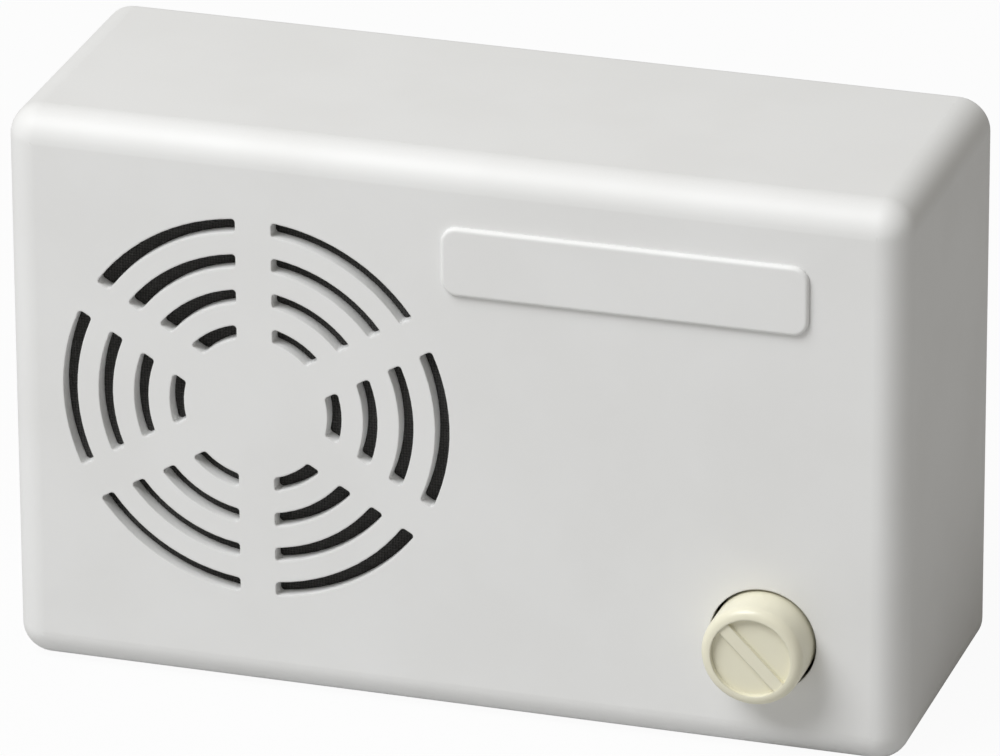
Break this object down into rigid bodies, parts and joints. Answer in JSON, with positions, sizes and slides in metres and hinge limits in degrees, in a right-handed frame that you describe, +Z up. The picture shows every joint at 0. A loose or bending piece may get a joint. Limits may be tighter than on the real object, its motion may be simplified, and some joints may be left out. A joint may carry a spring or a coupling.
{
  "type": "doorbell chime box",
  "caption": "White wall-mounted doorbell chime box with a round slotted loudspeaker grille, a bare raised strip and a cream volume knob; the cover pulls off its base plate.",
  "frame": {"origin": "middle of the back of the base plate, on the plane of the wall", "axes": "+Z up, +X to the right when facing the front, +Y into the wall; the front faces -Y"},
  "size_m": [0.125, 0.048, 0.08],
  "materials": {
    "case_plastic": "satin",
    "base_plastic": "satin",
    "knob_plastic": "satin",
    "black_cloth": "matte",
    "plated_steel": "satin",
    "screw_steel": "satin",
    "ferrite": "matte",
    "cone_paper": "matte",
    "cap_paper": "satin",
    "coil_former": "satin",
    "surround_cloth": "matte",
    "spider_cloth": "matte",
    "gasket_foam": "matte",
    "fibre_board": "matte",
    "board_laminate": "satin",
    "control_housing": "satin",
    "shaft_plastic": "satin",
    "terminal_plastic": "satin",
    "connector_plastic": "satin",
    "black_resin": "gloss",
    "can_sleeve": "gloss",
    "resistor_paint": "satin",
    "disc_ceramic": "satin",
    "transistor_plastic": "matte",
    "holder_plastic": "satin",
    "cell_sleeve": "satin",
    "contact_metal": "satin",
    "red_insulation": "satin",
    "black_insulation": "satin"
  },
  "bodies": {
    "base": {"base_plate": "base_plastic", "speaker_frame": "plated_steel", "speaker_top_plate": "plated_steel", "speaker_magnet": "ferrite", "speaker_yoke": "plated_steel", "cone_surround": "surround_cloth", "speaker_spider": "spider_cloth", "speaker_gasket": "gasket_foam", "speaker_clamps": "screw_steel", "speaker_screws": "screw_steel", "speaker_tag_strip": "fibre_board", "speaker_tags": "contact_metal", "circuit_board": "board_laminate", "board_screws": "screw_steel", "volume_control_body": "control_housing", "terminal_block": "terminal_plastic", "terminal_screws": "screw_steel", "lead_sockets": "connector_plastic", "lead_plugs": "connector_plastic", "chime_chip": "black_resin", "electrolytic_capacitors": "can_sleeve", "transistor": "transistor_plastic", "resistors": "resistor_paint", "ceramic_capacitors": "disc_ceramic", "battery_holder": "holder_plastic", "holder_screws": "screw_steel", "battery_1": "cell_sleeve", "battery_2": "cell_sleeve", "battery_3": "cell_sleeve", "battery_contacts": "contact_metal", "battery_springs": "contact_metal", "speaker_lead_red": "red_insulation", "speaker_lead_black": "black_insulation", "battery_lead_red": "red_insulation", "battery_lead_black": "black_insulation"},
    "cover": {"front_cover": "case_plastic", "dust_screen": "black_cloth"},
    "volume_control": {"volume_knob": "knob_plastic", "volume_shaft": "shaft_plastic"},
    "speaker_cone": {"speaker_cone": "cone_paper", "dust_cap": "cap_paper", "voice_coil": "coil_former"}
  },
  "joints": [
    {"name": "cover_slide", "type": "slide", "parent": "base", "child": "cover", "axis": [0, -1, 0], "range_m": [0, 0.055]},
    {"name": "volume_turn", "type": "hinge", "parent": "base", "child": "volume_control", "pos_m": [0.04324, -0.042, -0.0234], "axis": [0, 1, 0], "range_deg": [-105, 195]},
    {"name": "cone_travel", "type": "slide", "parent": "base", "child": "speaker_cone", "axis": [0, -1, 0], "range_m": [-0.0008, 0.0008], "stiffness_N_per_m": 1500, "deforming": ["cone_surround", "speaker_spider"]}
  ]
}
